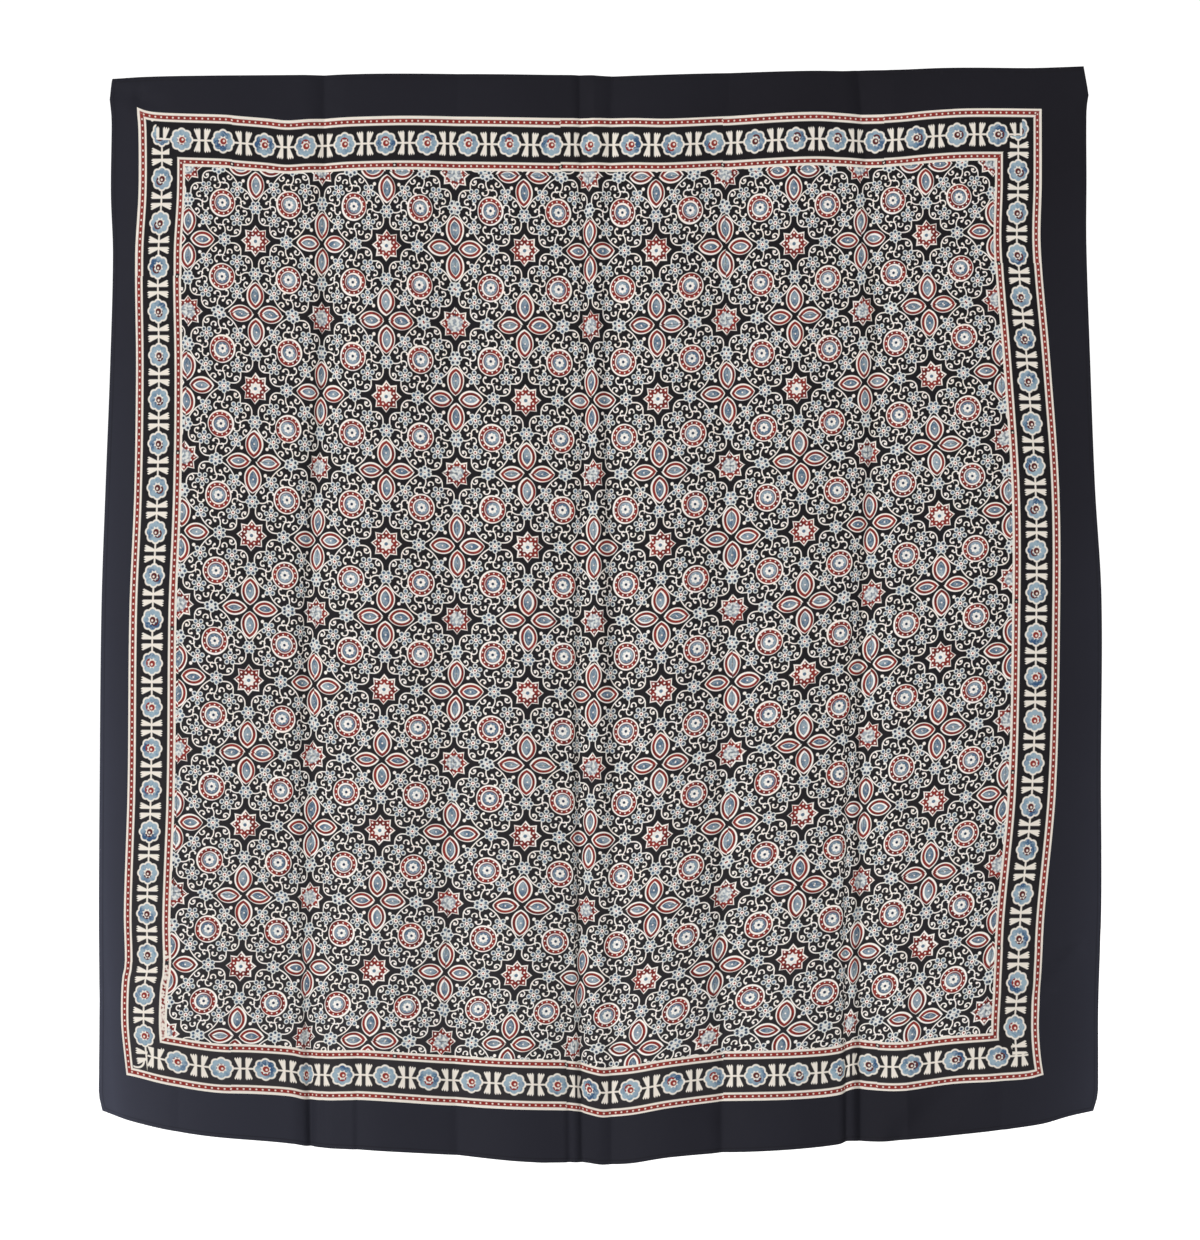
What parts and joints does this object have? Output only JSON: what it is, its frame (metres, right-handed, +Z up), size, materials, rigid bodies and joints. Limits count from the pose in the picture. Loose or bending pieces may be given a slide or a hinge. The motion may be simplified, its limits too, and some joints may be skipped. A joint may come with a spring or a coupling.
{
  "type": "ajrakh cloth",
  "caption": "Square of hand-block-printed ajrakh cloth, hung by its top edge in soft upright folds, with a floral border and plain navy margins.",
  "frame": {"origin": "middle of the top edge, where the cloth is held", "axes": "+Z up along the hang of the cloth, +X to the right as seen from the printed face, the printed face towards -Y"},
  "size_m": [1.0216, 0.0216, 1.12],
  "materials": {
    "cloth": "soft matt weave with a slight sheen"
  },
  "bodies": {
    "root": {"cloth": "cloth"}
  },
  "joints": []
}
